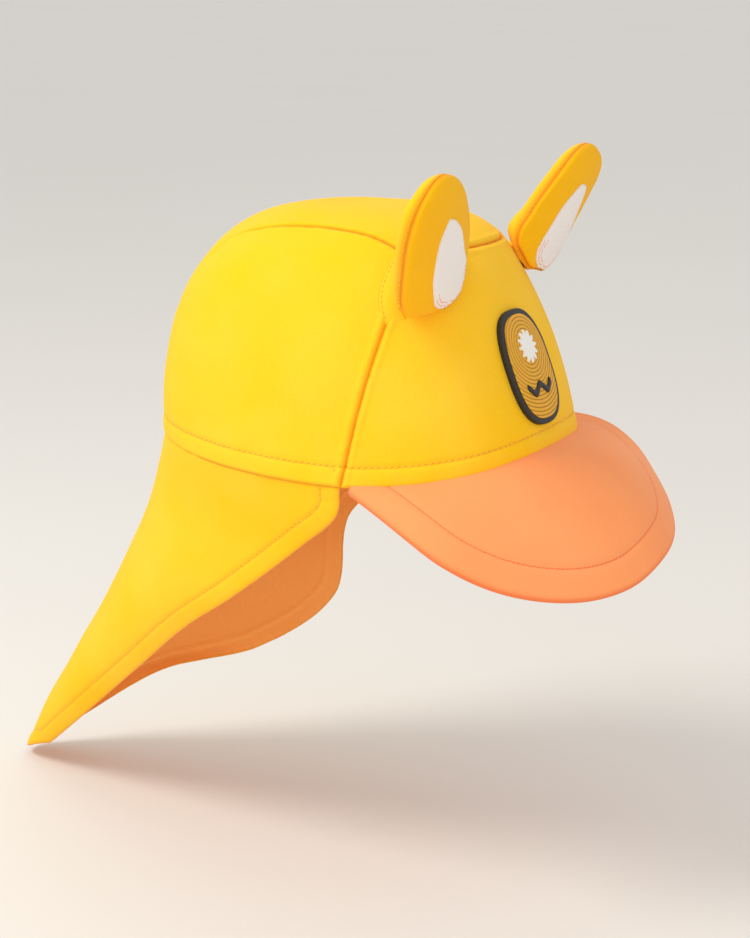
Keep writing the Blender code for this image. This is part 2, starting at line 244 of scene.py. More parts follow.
def panel_between(rim, top, start, end):
    """A panel of the crown inside four seams that each give azimuth and height for a share."""
    rim, top, start, end = (lru_cache(None)(edge) for edge in (rim, top, start, end))

    def place(s, t):
        mixed = []
        for k in range(2):
            along = (1 - t) * rim(s)[k] + t * top(s)[k]
            up = (1 - s) * start(t)[k] + s * end(t)[k]
            corners = (1 - s) * ((1 - t) * rim(0)[k] + t * top(0)[k])
            corners += s * ((1 - t) * rim(1)[k] + t * top(1)[k])
            mixed.append(along + up - corners)
        return crown_at(*mixed)

    return place


def level_rim(first, last):
    """The crown's rim from one azimuth to another, as a seam."""

    def rim(share):
        azimuth = first + (last - first) * share
        return azimuth, rim_height(azimuth)

    return rim


def right_seam(share):
    """The seam beside the front panel on the cap's right."""
    azimuth, height = front_seam(share)
    return -azimuth, height


front_panel = panel_between(
    level_rim(-TEMPLE_AZIMUTH, TEMPLE_AZIMUTH),
    lambda share: corner(center_panel(share, 0)),
    right_seam,
    front_seam,
)
side_panel = panel_between(
    level_rim(TEMPLE_AZIMUTH, corner(center_panel(1, 1))[0]),
    lambda share: corner(center_panel(1, share * BACK_SEAM_TURN)),
    front_seam,
    lambda share: corner(center_panel(1, 1 - share * (1 - BACK_SEAM_TURN))),
)


def lay_cloth(columns, rows, place, crowd=(0.7, 0.7), mirrored=False):
    """A grid laid on place(s, t), crowded towards its edges, that knows how far each vertex is,
    over the cloth, from its left, right, lower and upper edge."""
    shape = bmesh.new()
    for layer in ("seam", "hem", "run"):
        shape.verts.layers.float.new(layer)
    shape.loops.layers.uv.new("cloth")
    bmesh.ops.create_grid(shape, x_segments=columns, y_segments=rows, size=0.5)
    knots = {}
    for vertex in shape.verts:
        knots[round((vertex.co.x + 0.5) * columns), round((vertex.co.y + 0.5) * rows)] = vertex
    for (i, j), vertex in knots.items():
        s, t = i / columns, j / rows
        s -= crowd[0] * math.sin(2 * math.pi * s) / (2 * math.pi)
        t -= crowd[1] * math.sin(2 * math.pi * t) / (2 * math.pi)
        vertex.co = place(s, t)
        if mirrored:
            vertex.co.x = -vertex.co.x
    if mirrored:
        bmesh.ops.reverse_faces(shape, faces=shape.faces)
    shape.normal_update()
    across, up = {}, {}
    for i, j in sorted(knots):
        here = knots[i, j].co
        across[i, j] = across[i - 1, j] + (here - knots[i - 1, j].co).length if i else 0.0
        up[i, j] = up[i, j - 1] + (here - knots[i, j - 1].co).length if j else 0.0
    away = {}
    for (i, j), vertex in knots.items():
        total = across[columns, j], up[i, rows]
        away[vertex] = across[i, j], total[0] - across[i, j], up[i, j], total[1] - up[i, j]
    return SimpleNamespace(shape=shape, knots=knots, away=away)


def measure_hem(cloth, border):
    """For each vertex its distance from a border of the cloth, given as knots, and the length
    along the border to that place."""
    corners = [cloth.knots[knot].co for knot in border]
    points, run = [], 0.0
    for a, b in zip(corners, corners[1:]):
        steps = max(1, math.ceil((b - a).length / HEM_STEP))
        points += [(a.lerp(b, k / steps), run + (b - a).length * k / steps) for k in range(steps)]
        run += (b - a).length
    tree = KDTree(len(points))
    for index, (point, _) in enumerate(points):
        tree.insert(point, index)
    tree.balance()
    cloth.hem = {}
    cloth.run_length = run
    for vertex in cloth.shape.verts:
        _, index, distance = tree.find(vertex.co)
        cloth.hem[vertex] = distance, points[index][1]


def push(cloth, depth_at):
    """Moves each vertex out along its normal by depth_at(vertex)."""
    moves = [(vertex, vertex.normal * depth_at(vertex)) for vertex in cloth.shape.verts]
    for vertex, move in moves:
        vertex.co += move
    cloth.shape.normal_update()


def hill(distance, width):
    """A smooth bump of height 1 at distance 0."""
    return math.exp(-((distance / width) ** 2))


def ripple(run, seed):
    """The height of the puckers at a length along a seam, about -1 to 1."""
    short, long = PUCKERS_PER_METRE
    fine = noise.noise(Vector((run * short, seed, 0.3)))
    return fine + 0.5 * noise.noise(Vector((run * long, seed, 5.1)))


def soft_swell(point):
    """The soft hollows and swells of worn cloth at a point, in metres."""
    broad = noise.noise(point * 21 + Vector((2.3, 0.4, 1.7)))
    fine = noise.noise(point * 58 + Vector((7.1, 3.3, 0.2)))
    return BROAD_SWELL * broad + FINE_SWELL * fine


def stitch_line(cloth, distance):
    """The line at a distance from the measured hem: points, normals and lengths along the hem."""
    found = []
    last = cloth.run_length - STITCH_END
    for edge in cloth.shape.edges:
        a, b = edge.verts
        near, far = cloth.hem[a], cloth.hem[b]
        if (near[0] - distance) * (far[0] - distance) < 0:
            k = (distance - near[0]) / (far[0] - near[0])
            run = near[1] + (far[1] - near[1]) * k
            if STITCH_END < run < last and abs(near[1] - far[1]) < HEM_JUMP:
                found.append((run, a.co.lerp(b.co, k), a.normal.lerp(b.normal, k).normalized()))
    return sorted(found, key=lambda item: item[0])


def add_stitches(shape, line, pitch, length=0.0018, width=THREAD_WIDTH, lift=0.00008):
    """Lays one small thread loop in each pitch of a line. Its direction is taken over a few
    points of the line, so that it runs smooth."""
    index = 0
    count = int((line[-1][0] - line[0][0]) / pitch)
    first = math.ceil(line[0][0] / pitch)
    for number in range(first, first + count):
        middle = (number + 0.5) * pitch
        while index < len(line) - 2 and line[index + 1][0] < middle:
            index += 1
        (low, a, normal), (high, b, _) = line[index], line[index + 1]
        ahead = line[min(index + 4, len(line) - 1)][1] - line[max(index - 3, 0)][1]
        if ahead.length < 1e-6 or middle > line[-1][0]:
            continue
        k = min(max((middle - low) / max(high - low, 1e-9), 0.0), 1.0)
        along = ahead.normalized()
        side = normal.cross(along).normalized()
        turn = Matrix((side, along.cross(side), along)).transposed().to_4x4()
        size = Matrix.Diagonal((width / 2, width * 0.4, length / 2, 1))
        place = Matrix.Translation(a.lerp(b, k) + normal * lift)
        bmesh.ops.create_uvsphere(
            shape, u_segments=6, v_segments=5, radius=1, matrix=place @ turn @ size
        )


def linear(hex_code):
    """An sRGB hex colour as linear red, green, blue and alpha."""
    channels = [int(hex_code[i : i + 2], 16) / 255 for i in (1, 3, 5)]
    return [c / 12.92 if c <= 0.04045 else ((c + 0.055) / 1.055) ** 2.4 for c in channels] + [1.0]


def add_node(tree, kind, inputs=None, **settings):
    """Adds one node with its settings; each input gets a value or the socket that feeds it."""
    node = tree.nodes.new("ShaderNode" + kind)
    for name, value in settings.items():
        setattr(node, name, value)
    for name, value in (inputs or {}).items():
        if isinstance(value, bpy.types.NodeSocket):
            tree.links.new(value, node.inputs[name])
        else:
            node.inputs[name].default_value = value
    return node


def swim_knit(
    name, colour, tint, shade, roughness=0.8, sheen=0.05, hem=RIM_HEM, stitch=RIM_STITCH
):
    """Warp-knitted swim cloth of nylon and elastane: matt, with a faint grain of loops, a little
    paler where it is stretched, with painted shade along seams and edges and in its needle holes.
    Real loops are 0.4 mm wide, which is finer than a pixel, so they are drawn KNIT_LOOP mm wide.
    hem and stitch are the topstitch's distance from the edge and its pitch, in metres."""
    made = bpy.data.materials.new(name)
    made.use_nodes = True
    tree = made.node_tree
    tree.nodes.clear()
    weave = add_node(tree, "UVMap", uv_map="cloth").outputs["UV"]
    spot = add_node(tree, "TexCoord").outputs["Object"]
    wale = {"Vector": weave, "Scale": WAVE_SCALE / KNIT_LOOP, "Distortion": 0.6, "Detail": 1.0}
    wales = add_node(tree, "TexWave", wale, bands_direction="X").outputs["Fac"]
    courses = add_node(tree, "TexWave", wale, bands_direction="Y").outputs["Fac"]
    loops = add_node(tree, "Math", {0: wales, 1: courses}, operation="MULTIPLY").outputs[0]
    hem_at = add_node(tree, "Attribute", attribute_name="hem").outputs["Fac"]
    off_hem = add_node(tree, "Math", {0: hem_at, 1: hem * 1000}, operation="SUBTRACT").outputs[0]
    beside = add_node(tree, "Math", {0: off_hem}, operation="ABSOLUTE").outputs[0]
    close = {"Value": beside, "From Max": 0.5, "To Min": 0.5, "To Max": 0.0}
    on_line = add_node(tree, "MapRange", close).outputs[0]
    run_at = add_node(tree, "Attribute", attribute_name="run").outputs["Fac"]
    per_mm = 2 * math.pi / (stitch * 1000)
    phase = add_node(tree, "Math", {0: run_at, 1: per_mm}, operation="MULTIPLY")
    turn = add_node(tree, "Math", {0: phase.outputs[0]}, operation="COSINE")
    gap = {"Value": turn.outputs[0], "From Min": -0.3, "From Max": 0.9}
    between = add_node(tree, "MapRange", gap).outputs[0]
    hole_dent_and_shade = add_node(tree, "Math", {0: on_line, 1: between}, operation="MULTIPLY").outputs[0]
    cloud = add_node(tree, "TexNoise", {"Vector": spot, "Scale": 26.0, "Detail": 3.0})
    stretched = {"Value": cloud.outputs["Fac"], "From Min": 0.35, "From Max": 0.75, "To Max": 0.5}
    paler = add_node(tree, "MapRange", stretched)
    body = add_node(
        tree, "Mix", {0: paler.outputs[0], 6: linear(colour), 7: linear(tint)}, data_type="RGBA"
    )
    # Painted shade along seams and edges (the seam layer) and in the needle holes: both mix the
    # cloth towards shade.
    seam = add_node(tree, "Attribute", attribute_name="seam").outputs["Fac"]
    line = add_node(tree, "Math", {0: hole_dent_and_shade, 1: seam}, operation="MAXIMUM")
    fuzz = add_node(tree, "TexNoise", {"Vector": weave, "Scale": 1.1, "Detail": 2.0})
    mottle = add_node(tree, "Math", {0: loops, 1: fuzz.outputs["Fac"]}, operation="SUBTRACT")
    speck = {0: mottle.outputs[0], 1: -0.08, 2: line.outputs[0]}
    grain = add_node(tree, "Math", speck, operation="MULTIPLY_ADD", use_clamp=True)
    skin = add_node(
        tree, "Mix", {0: grain.outputs[0], 6: body.outputs[2], 7: linear(shade)}, data_type="RGBA"
    )
    threads = add_node(tree, "Bump", {"Strength": 0.3, "Distance": 0.00022, "Height": loops})
    dent = {"Strength": 1.0, "Distance": 0.0004, "Height": hole_dent_and_shade, "Normal": threads.outputs[0]}
    needle = add_node(tree, "Bump", dent, invert=True)
    shader = add_node(
        tree,
        "BsdfPrincipled",
        {
            "Base Color": skin.outputs[2],
            "Roughness": roughness,
            "Sheen Weight": sheen,
            "Sheen Roughness": 0.45,
            "Specular IOR Level": 0.15,
            "Normal": needle.outputs[0],
        },
    )
    add_node(tree, "OutputMaterial", {"Surface": shader.outputs[0]})
    return made


def spun_thread(name, colour, shade):
    """Polyester sewing thread, spun and dyed: a soft low gloss, darker between its plies."""
    made = bpy.data.materials.new(name)
    made.use_nodes = True
    tree = made.node_tree
    tree.nodes.clear()
    spot = add_node(tree, "TexCoord").outputs["Object"]
    ply = add_node(tree, "TexNoise", {"Vector": spot, "Scale": 1800.0, "Detail": 1.0})
    plies = {0: ply.outputs["Fac"], 6: linear(colour), 7: linear(shade)}
    tone = add_node(tree, "Mix", plies, data_type="RGBA")
    twist = {"Strength": 0.4, "Distance": 0.0001, "Height": ply.outputs["Fac"]}
    bump = add_node(tree, "Bump", twist)
    shader = add_node(
        tree,
        "BsdfPrincipled",
        {
            "Base Color": tone.outputs[2],
            "Roughness": 0.55,
            "Sheen Weight": 0.2,
            "Normal": bump.outputs[0],
        },
    )
    add_node(tree, "OutputMaterial", {"Surface": shader.outputs[0]})
    return made


def add_piece(name, shape, material, wall=0.0):
    """Makes a shape an object of the scene, with a wall that goes inwards from its face."""
    mesh = bpy.data.meshes.new(name)
    shape.to_mesh(mesh)
    shape.free()
    mesh.shade_smooth()
    mesh.materials.append(material)
    made = bpy.data.objects.new(name, mesh)
    scene.collection.objects.link(made)
    if wall:
        solid = made.modifiers.new("wall", "SOLIDIFY")
        solid.thickness = wall
        solid.offset = -1
    return made


def add_thread(name, stitches, thread):
    """Makes laid stitches a piece of the cap."""
    made = add_piece(name, stitches, thread)
    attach(made, "root")
    return made


def close_shape(shape):
    """Joins a shape where its edges meet and turns its faces outwards."""
    bmesh.ops.remove_doubles(shape, verts=shape.verts, dist=MERGE_DISTANCE)
    bmesh.ops.recalc_face_normals(shape, faces=shape.faces)


def write_layers(cloth, seam_painted_shade):
    """Writes what the cloth's material reads: the pattern's place in mm, the painted shade along
    seams and edges, and the distance from the hem and the length along it in mm."""
    seam, hem, run = (cloth.shape.verts.layers.float[name] for name in ("seam", "hem", "run"))
    pattern = cloth.shape.loops.layers.uv["cloth"]
    for vertex in cloth.shape.verts:
        vertex[seam] = seam_painted_shade(vertex)
        vertex[hem] = cloth.hem[vertex][0] * 1000
        vertex[run] = cloth.hem[vertex][1] * 1000
    for face in cloth.shape.faces:
        for loop in face.loops:
            left, right, low, _ = cloth.away[loop.vert]
            loop[pattern].uv = ((left - right) * 500, low * 1000)


# The third colour of each swim knit is its painted shade colour.
yellow_knit = swim_knit("yellow swim knit", "#FFC614", "#FFCF44", "#EE8A00")
yellow_thread = spun_thread("yellow spun thread", "#FFCA30", "#F2A41A")


def make_crown_panel(name, columns, rows, place, rim_side, mirrored):
    """One panel of the crown; rim_side says whether its rim is its lower edge, 2, or upper, 3."""
    cloth = lay_cloth(columns, rows, place, mirrored=mirrored)
    level = 0 if rim_side == 2 else rows
    measure_hem(cloth, [(i, level) for i in range(columns + 1)])

    def to_seam(vertex):
        return min(cloth.away[vertex][side] for side in (0, 1, 5 - rim_side))

    def depth_at(vertex):
        rim, run = cloth.hem[vertex]
        seam = to_seam(vertex)
        along = vertex.co.x + vertex.co.y * 1.3 + vertex.co.z * 1.7
        depth = soft_swell(vertex.co)
        depth -= SEAM_DEPTH * max(hill(seam, SEAM_ROLL), hill(rim, SEAM_ROLL))
        depth += RIDGE_HEIGHT * hill(seam - RIDGE_AWAY, RIDGE_WIDTH)
        depth += PUCKER_HEIGHT * ripple(along, 1.0) * hill(seam, PUCKER_REACH)
        depth -= STITCH_DENT * hill(rim - RIM_HEM, STITCH_DENT_WIDTH)
        depth += PUCKER_HEIGHT * ripple(run, 2.0) * hill(rim - RIM_HEM * 0.6, PUCKER_REACH)
        if rim < RIM_HEM:
            depth += HEM_SWELL * math.sin(math.pi * rim / RIM_HEM)
        return depth

    # Painted shade along the panel's seams and its rim edge.
    def seam_painted_shade(vertex):
        edge = min(to_seam(vertex), cloth.hem[vertex][0])
        return SEAM_PAINTED_SHADE * hill(edge, SEAM_PAINTED_SHADE_WIDTH)

    push(cloth, depth_at)
    write_layers(cloth, seam_painted_shade)
    line = stitch_line(cloth, RIM_HEM)
    made = add_piece(name + "_cloth", cloth.shape, yellow_knit, CROWN_CLOTH)
    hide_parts(name)
    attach(made, "root")
    return line


CROWN_PANELS = (
    # node, columns, rows, place, rim side, mirrored
    ("crown_front", 150, 88, front_panel, 2, False),
    ("crown_center", 96, 170, center_panel, 3, False),
    ("crown_side_left", 136, 88, side_panel, 2, False),
    ("crown_side_right", 136, 88, side_panel, 2, True),
)
rim_lines = [make_crown_panel(*panel) for panel in CROWN_PANELS]
stitches = bmesh.new()
for line in rim_lines:
    add_stitches(stitches, line, RIM_STITCH)
for azimuth in (-TEMPLE_AZIMUTH - TACK_TURN, TEMPLE_AZIMUTH + TACK_TURN):
    tack = []
    for step in range(TACK_POINTS + 1):
        rise = RIM_HEM * step / TACK_POINTS
        point = crown_at(azimuth, rim_height(azimuth) + rise)
        tack.append((rise, point, Vector((point.x, point.y, 0)).normalized()))
    add_stitches(stitches, tack, RIM_STITCH)
add_thread("rim_topstitch", stitches, yellow_thread)

# Peak
# Two layers of orange scuba knit over a soft foam sheet, sewn, turned out and topstitched well
# inside the edge. The peak is sewn under the crown's front rim and bends down to its right side.
PEAK_THICKNESS = 0.0030
PEAK_ROUNDING = 0.0019
PEAK_ROOT_AZIMUTH = 67.0
PEAK_BOW = 0.009
PEAK_REACH = 0.128
PEAK_HALF_WIDTH = 0.078
PEAK_DROP = 0.038
PEAK_TUCK = 0.0018
PEAK_TUCK_SHARE = 0.974
PEAK_COLUMNS = 210
PEAK_ROWS = 84
PEAK_HEM = 0.0125
PEAK_STITCH = 0.0023
PEAK_SWELL = 0.0005
PEAK_DENT = 0.0004
PEAK_DENT_WIDTH = 0.0012
PEAK_PUCKER = 0.00012
PEAK_PUCKER_REACH = 0.005
PEAK_EDGE = (
    # turn, across, forward, down
    (-1.00, -0.905, 0.225, 0.03),
    (-0.86, -1.00, 0.445, 0.33),
    (-0.71, -0.98, 0.58, 0.58),
    (-0.56, -0.86, 0.70, 0.81),
    (-0.42, -0.69, 0.81, 0.95),
    (-0.28, -0.49, 0.905, 1.00),
    (-0.14, -0.26, 0.975, 0.95),
    (0.00, 0.00, 1.00, 0.81),
    (0.14, 0.26, 0.975, 0.70),
    (0.28, 0.49, 0.905, 0.54),
    (0.42, 0.68, 0.81, 0.35),
    (0.56, 0.84, 0.70, 0.13),
    (0.71, 0.94, 0.57, -0.04),
    (0.86, 0.96, 0.42, -0.09),
    (1.00, 0.905, 0.225, 0.00),
)


@lru_cache(None)
def peak_ends(side):
    """Root and edge of the peak's line, for -1 at the right to 1 at the left."""
    azimuth = side * PEAK_ROOT_AZIMUTH
    rim = crown_at(azimuth, rim_height(azimuth))
    across, forward, down = table_at(PEAK_EDGE, side)
    edge = Vector((across * PEAK_HALF_WIDTH, -forward * PEAK_REACH, -down * PEAK_DROP))
    root = Vector((rim.x * PEAK_TUCK_SHARE, rim.y * PEAK_TUCK_SHARE, rim.z + PEAK_TUCK))
    return root, edge


def peak_face(s, t):
    """The peak's upper face: s across from right to left, t from the edge in to the rim."""
    root, edge = peak_ends(2 * s - 1)
    bow = PEAK_BOW * 4 * t * (1 - t) * (root.z - edge.z) / PEAK_DROP
    return edge.lerp(root, t) + Vector((0, 0, bow))


orange_knit = swim_knit(
    "orange scuba knit", "#FF9C5E", "#FFA86C", "#F05E28", roughness=0.85, sheen=0.15,
    hem=PEAK_HEM, stitch=PEAK_STITCH,
)
orange_thread = spun_thread("orange spun thread", "#FF7440", "#EE5426")

peak_cloth = lay_cloth(PEAK_COLUMNS, PEAK_ROWS, peak_face, crowd=(0.2, 0.7))
measure_hem(peak_cloth, [(i, 0) for i in range(PEAK_COLUMNS + 1)])


def peak_form(vertex):
    """How far the upper face stands proud of the peak's plain form."""
    edge, run = peak_cloth.hem[vertex]
    swell = PEAK_SWELL * noise.noise(vertex.co * 26 + Vector((4.0, 1.0, 2.0)))
    swell -= PEAK_DENT * hill(edge - PEAK_HEM, PEAK_DENT_WIDTH)
    return swell + PEAK_PUCKER * ripple(run, 3.0) * hill(edge - PEAK_HEM, PEAK_PUCKER_REACH)


def peak_painted_shade(vertex):
    """How strong the painted shade is along the peak's root and its turned edge."""
    root, edge = peak_cloth.away[vertex][3], peak_cloth.hem[vertex][0]
    return max(0.8 * hill(root, 0.0012), 0.6 * hill(edge, 0.0015))


push(peak_cloth, peak_form)
write_layers(peak_cloth, peak_painted_shade)
peak_line = stitch_line(peak_cloth, PEAK_HEM)
shape = peak_cloth.shape
under = bmesh.ops.duplicate(shape, geom=shape.verts[:] + shape.edges[:] + shape.faces[:])
for top_vertex in list(peak_cloth.away):
    bottom_vertex = under["vert_map"][top_vertex]
    away = peak_cloth.away[top_vertex]
    near = min(peak_cloth.hem[top_vertex][0], away[0], away[1], away[3])
    share = 1 - min(near / PEAK_ROUNDING, 1.0)
    half = PEAK_THICKNESS / 2 * math.sqrt(1 - share * share)
    normal = top_vertex.normal.copy()
    middle = top_vertex.co - normal * PEAK_THICKNESS / 2
    top_vertex.co = middle + normal * half
    bottom_vertex.co = middle - normal * half
under_faces = [item for item in under["geom"] if isinstance(item, bmesh.types.BMFace)]
bmesh.ops.reverse_faces(shape, faces=under_faces)
close_shape(shape)
peak = add_piece("peak_pad", shape, orange_knit)
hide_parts("peak")
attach(peak, "root")
stitches = bmesh.new()
add_stitches(stitches, peak_line, PEAK_STITCH, length=0.0016, width=0.00045, lift=-0.00005)
add_thread("peak_topstitch", stitches, orange_thread)

# Neck flap
# An outer layer of the crown's yellow knit and a lining of thin orange knit, sewn along their
# edges, turned out, topstitched, and sewn to the crown's rim from temple to temple.
FLAP_CLOTH = 0.0007
FLAP_LAYERS = 0.0008
FLAP_SQUARENESS = 2.2
FLAP_REACH = 0.185
FLAP_DROP = 0.168
FLAP_HALF_WIDTH = 0.069
FLAP_TUCK = 0.0012
FLAP_TUCK_SHARE = 0.991
FLAP_JOIN = 0.4
FLAP_CALM = 0.02
FLAP_FOLD_TOP = 0.0008
FLAP_FOLD_GROWTH = 0.0024
FLAP_CREASE = 0.0005
FLAP_HEM = 0.0080
FLAP_STITCH = 0.0026
FLAP_DENT = 0.0004
FLAP_PUCKER = 0.00035
FLAP_RIM_REACH = 0.008
FLAP_TURN = -0.0006
LINING_TURN = 0.0003
FLAP_SECTIONS = (
    # share, spine back, down, right across, back, down, left across, back, down
    (0.00, 0.454, -0.03, 1.00, -0.146, 0.00, 1.00, -0.146, 0.00),
    (0.07, 0.484, 0.05, 0.97, -0.125, 0.08, 0.97, -0.115, 0.07),
    (0.16, 0.523, 0.15, 0.92, -0.03, 0.165, 0.93, 0.02, 0.15),
    (0.33, 0.597, 0.31, 0.85, 0.16, 0.325, 0.86, 0.23, 0.303),
    (0.50, 0.703, 0.51, 0.72, 0.33, 0.457, 0.78, 0.262, 0.535),
    (0.67, 0.813, 0.69, 0.56, 0.505, 0.62, 0.58, 0.44, 0.697),
    (0.84, 0.918, 0.85, 0.38, 0.69, 0.79, 0.36, 0.69, 0.79),
    (1.00, 1.000, 1.00, 0.20, 0.88, 0.965, 0.16, 0.90, 0.950),
)


@lru_cache(None)
def flap_row(along):
    """The row of the flap's sections at a share of its length."""
    return table_at(FLAP_SECTIONS, along)


def flap_section(side, along):
    """A point on a section across the flap: side from -1 at the right front edge to 1."""
    row = flap_row(along)
    across, back, down = row[5:8] if side > 0 else row[2:5]
    turn = math.radians(90 * abs(side))
    wide = math.sin(turn) ** (2 / FLAP_SQUARENESS)
    deep = max(math.cos(turn), 0.0) ** (2 / FLAP_SQUARENESS)
    return Vector(
        (
            math.copysign(wide * across * FLAP_HALF_WIDTH, side),
            (back + (row[0] - back) * deep) * FLAP_REACH,
            -(row[1] + (down - row[1]) * (1 - math.cos(turn))) * FLAP_DROP,
        )
    )


def flap_face(s, t):
    """The flap's outer face: s round from its left front edge to its right one, t up from its
    tail. Its upper part is drawn in to the crown's rim."""
    side, along = 1 - 2 * s, 1 - t
    azimuth = 180 - side * (180 - TEMPLE_AZIMUTH)
    rim = crown_at(azimuth, rim_height(azimuth))
    rim = Vector((rim.x * FLAP_TUCK_SHARE, rim.y * FLAP_TUCK_SHARE, rim.z + FLAP_TUCK))
    fade = max(0.0, 1 - along / FLAP_JOIN) ** 2
    return flap_section(side, along) + (rim - flap_section(side, 0)) * fade


def flap_fold(point):
    """The flap's long soft folds at a point, in metres."""
    drop = min(max(-point.z / FLAP_DROP, 0.0), 1.0)
    broad = noise.noise(Vector((point.x * 20, point.y * 12, point.z * 9 + 3.7)))
    fine = noise.noise(Vector((point.x * 50, point.y * 36, point.z * 30)))
    return (FLAP_FOLD_TOP + FLAP_FOLD_GROWTH * drop) * broad + FLAP_CREASE * fine


def make_flap_layer(name, columns, rows, material, depth, turned):
    """One layer of the flap, `depth` under the outer face, its edges moved out by `turned`."""
    cloth = lay_cloth(columns, rows, flap_face, crowd=(0.55, 0.35))
    border = [(0, j) for j in range(rows, 0, -1)] + [(i, 0) for i in range(columns)]
    border += [(columns, j) for j in range(rows + 1)]
    measure_hem(cloth, border)

    def depth_at(vertex):
        edge, run = cloth.hem[vertex]
        rim = cloth.away[vertex][3]
        along = vertex.co.x * 1.2 + vertex.co.y * 0.6
        form = flap_fold(vertex.co) * (1 - hill(rim, FLAP_CALM)) - depth
        form += turned * hill(edge, 0.0013)
        form -= SEAM_DEPTH * hill(rim, SEAM_ROLL)
        form -= FLAP_DENT * hill(edge - FLAP_HEM, STITCH_DENT_WIDTH)
        form += FLAP_PUCKER * ripple(run, 6.0) * hill(edge - FLAP_HEM * 0.5, PUCKER_REACH)
        return form + PUCKER_HEIGHT * ripple(along, 8.0) * hill(rim, FLAP_RIM_REACH)

    # Painted shade along the flap's seam at the crown's rim and along its edges.
    def flap_painted_shade(vertex):
        rim, edge = cloth.away[vertex][3], cloth.hem[vertex][0]
        return max(0.8 * hill(rim, 0.0010), 0.4 * hill(edge, 0.0008))

    push(cloth, depth_at)
    write_layers(cloth, flap_painted_shade)
    line = stitch_line(cloth, FLAP_HEM)
    made = add_piece(name + "_cloth", cloth.shape, material, FLAP_CLOTH)
    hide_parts(name)
    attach(made, "root")
    return made, line


lining_knit = swim_knit(
    "orange lining knit", "#FFB25E", "#FFBA6A", "#F07A34", roughness=0.85, hem=NO_HEM
)
neck_flap, flap_line = make_flap_layer("neck_flap", 200, 140, yellow_knit, 0.0, FLAP_TURN)
flap_lining, _ = make_flap_layer("flap_lining", 150, 110, lining_knit, FLAP_LAYERS, LINING_TURN)
stitches = bmesh.new()
add_stitches(stitches, flap_line, FLAP_STITCH)
hem_topstitch = add_thread("hem_topstitch", stitches, yellow_thread)
for layer, others in ((neck_flap, (hem_topstitch,)), (flap_lining, ())):
    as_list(others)

# Ears
# Each ear is a pad of wadding between a yellow back that wraps round its sides and a front of the
# same knit painted deeper amber as shade, with a white brushed patch sewn on it. Its root is
# stitched over the crown's front seam.
EAR_SPREAD = 0.91
EAR_LEAN = 0.768
EAR_RISE = 0.0204
EAR_HALF_WIDTH = 0.0248
EAR_SWEEP = 0.0080
EAR_ROOT_SQUARENESS = 3.5
EAR_STANDOFF = 0.0016
EAR_BACK_PAD = 0.0066
EAR_BACK_ROUNDING = 0.0046
EAR_INSET = 0.94
EAR_WEB = 0.95
EAR_WEB_DROP = 0.003
EAR_WEB_TOP = 0.1
EAR_WEB_FADE = 0.7
EAR_WEB_EDGE = 9
EAR_FRONT_PAD = 0.0023
EAR_FRONT_ROUNDING = 0.0036
EAR_LAYER_GAP = 0.0001
EAR_LEFT_EASE = 0.30
EAR_COLUMNS = 132
EAR_ROWS = 50
EAR_PADDED_SHARE = 0.72
EAR_PUCKER = 0.00025
EAR_DIMPLE = 0.0004
EAR_RIM_LINE = 0.0013
EAR_RIM_STITCH = 0.0021
EAR_LEVELS = (
    # length, out, forward, up, width, sweep, turn, slope
    (0.00, 0.598, 0.870, 0.586, 0.62, 1.00, 7.0, 0.50),
    (0.25, 0.701, 0.885, 0.667, 0.92, 0.90, 4.3, 0.48),
    (0.50, 0.817, 0.930, 0.778, 0.99, 0.62, 0.5, 0.22),
    (0.75, 0.935, 0.985, 0.896, 0.96, 0.46, -2.0, 0.07),
    (1.00, 1.000, 1.000, 1.000, 0.86, 0.20, -1.0, 0.10),
)
EAR_PATCH_HALF_WIDTH = 0.42
EAR_PATCH_HALF_LENGTH = 0.69
EAR_PATCH_MIDDLE = -0.305
EAR_PATCH_PAD = 0.0003
EAR_PATCH_CLOTH = 0.0006
EAR_PATCH_COLUMNS = 160
EAR_PATCH_ROWS = 30
EAR_PATCH_LINES = (0.0014, 0.0028)
EAR_PATCH_STITCH = 0.0017
SEWN_BELOW = 0.082
SEWN_WITHIN = 0.054
ROOT_LOW = 0.0600
ROOT_HIGH = 0.0880
ROOT_FRONT_TURN = 7.0
ROOT_BACK_TURN = 6.5
ROOT_PAD = 0.0026
ROOT_SINK = 0.0006
ROOT_CLOTH = 0.0006
ROOT_STEPS = 48


def off_crown(point, clearance):
    """A point moved straight off the crown until it clears the crown, with a soft start."""
    if not point.z < CROWN_HEIGHT:
        return point
    azimuth = math.degrees(math.atan2(point.x, -point.y))
    radius = crown_at(azimuth, point.z).xy.length
    step = CROWN_HEIGHT * 0.002
    slope = (crown_at(azimuth, point.z - step).xy.length - radius) / step
    steep = math.sqrt(1 + slope * slope)
    short = clearance - (point.xy.length - radius) / steep
    soft = clearance / 2
    move = short if short > soft else max(short + soft, 0.0) ** 2 / (4 * soft)
    out = point.xy.normalized() / steep
    return point + Vector((out.x, out.y, slope / steep)) * move


